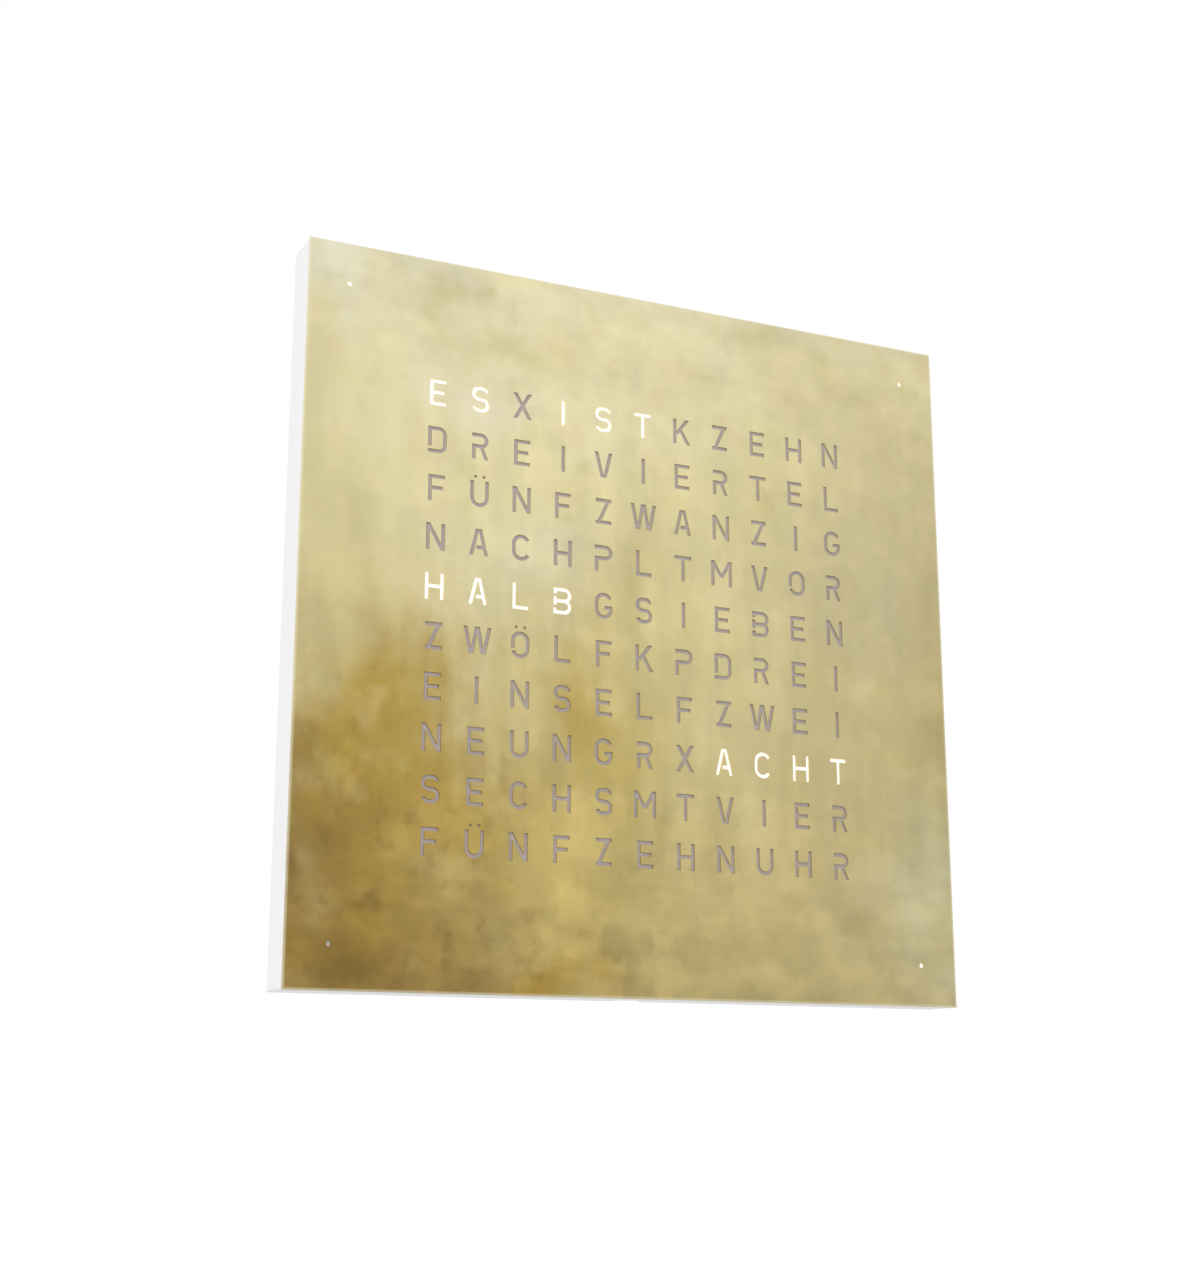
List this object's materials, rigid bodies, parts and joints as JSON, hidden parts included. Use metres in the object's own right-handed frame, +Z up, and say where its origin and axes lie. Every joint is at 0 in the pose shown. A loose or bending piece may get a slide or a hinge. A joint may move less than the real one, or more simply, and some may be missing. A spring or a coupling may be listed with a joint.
{
  "type": "word clock",
  "caption": "Square wall clock that tells the time in lit words, with a letter-cut brass front held by magnets on a white casing.",
  "frame": {"origin": "centre of the clock on the wall plane, which is also the centre of the wall bracket's four screw holes", "axes": "+Z up, front facing -Y, wall at the +Y side, +X to the right as seen from the front"},
  "size_m": [0.45, 0.032, 0.45],
  "materials": {
    "patina_brass": "satin patinated sheet, pale champagne to brown gold",
    "white_lacquer": "smooth white lacquer on fibreboard",
    "opal_acrylic": "opal sheet, grey when unlit",
    "black_panel": "black dyed fibreboard, milled",
    "beech": "plain beech dowel",
    "white_board": "white solder mask on glass fibre board",
    "green_board": "green solder mask on glass fibre board",
    "diode_white": "white package with a clear window",
    "ceramic_chip": "fired ceramic with tinned ends",
    "chip_black": "moulded epoxy",
    "bright_metal": "bright stamped metal",
    "black_plastic": "moulded, fine texture",
    "button_grey": "moulded, fine texture",
    "ribbon_grey": "flexible insulation",
    "lead_black": "flexible insulation",
    "ferrite": "ground ferrite",
    "copper_wire": "enamelled copper wire in close turns",
    "nickel_magnet": "nickel plated",
    "cover_aluminium": "brushed sheet",
    "zinc_steel": "zinc plated sheet",
    "screw_steel": "zinc plated screw",
    "rubber_pad": "soft rubber"
  },
  "bodies": {
    "wall_bracket": {"wall_bracket": "zinc_steel"},
    "casing": {"antenna_coil": "copper_wire", "antenna_holders": "black_plastic", "antenna_lead": "lead_black", "board_screws": "screw_steel", "bottom_rail": "white_lacquer", "casing_magnets": "nickel_magnet", "coin_cell": "bright_metal", "coin_cell_holder": "black_plastic", "controller_board": "green_board", "crystal": "bright_metal", "dc_socket": "black_plastic", "dc_socket_pin": "bright_metal", "diffuser_sheet": "opal_acrylic", "ferrite_rod": "ferrite", "hanger_rail": "zinc_steel", "hanger_screws": "screw_steel", "inductor": "chip_black", "led_capacitors": "ceramic_chip", "led_drivers": "chip_black", "left_rail": "white_lacquer", "letter_leds": "diode_white", "light_grid": "black_panel", "light_sensor": "chip_black", "main_ribbon": "ribbon_grey", "microcontroller": "chip_black", "minute_boards": "white_board", "minute_leads": "ribbon_grey", "minute_leds": "diode_white", "mitre_dowels": "beech", "plug_well": "black_plastic", "power_capacitors": "bright_metal", "radio_board": "green_board", "rear_cover": "cover_aluminium", "rear_cover_screws": "screw_steel", "regulator": "chip_black", "right_rail": "white_lacquer", "row_board_01": "white_board", "row_board_02": "white_board", "row_board_03": "white_board", "row_board_04": "white_board", "row_board_05": "white_board", "row_board_06": "white_board", "row_board_07": "white_board", "row_board_08": "white_board", "row_board_09": "white_board", "row_board_10": "white_board", "row_links": "ribbon_grey", "tact_switches": "black_plastic", "top_rail": "white_lacquer", "wall_pads": "rubber_pad"},
    "front_cover": {"front_plate": "patina_brass", "cover_discs": "nickel_magnet"},
    "hour_button": {"hour_button": "button_grey"},
    "minute_button": {"minute_button": "button_grey"},
    "light_button": {"light_button": "button_grey"}
  },
  "joints": [
    {"name": "casing_lift", "type": "slide", "parent": "wall_bracket", "child": "casing", "axis": [0, 0, 1], "range_m": [0, 0.012]},
    {"name": "front_pull", "type": "slide", "parent": "casing", "child": "front_cover", "axis": [0, -1, 0], "range_m": [0, 0.05]},
    {"name": "hour_button_press", "type": "slide", "parent": "casing", "child": "hour_button", "axis": [0, -1, 0], "range_m": [0, 0.0005], "stiffness_N_per_m": 400, "springref_m": -0.002},
    {"name": "minute_button_press", "type": "slide", "parent": "casing", "child": "minute_button", "axis": [0, -1, 0], "range_m": [0, 0.0005], "stiffness_N_per_m": 400, "springref_m": -0.002},
    {"name": "light_button_press", "type": "slide", "parent": "casing", "child": "light_button", "axis": [0, -1, 0], "range_m": [0, 0.0005], "stiffness_N_per_m": 400, "springref_m": -0.002}
  ]
}
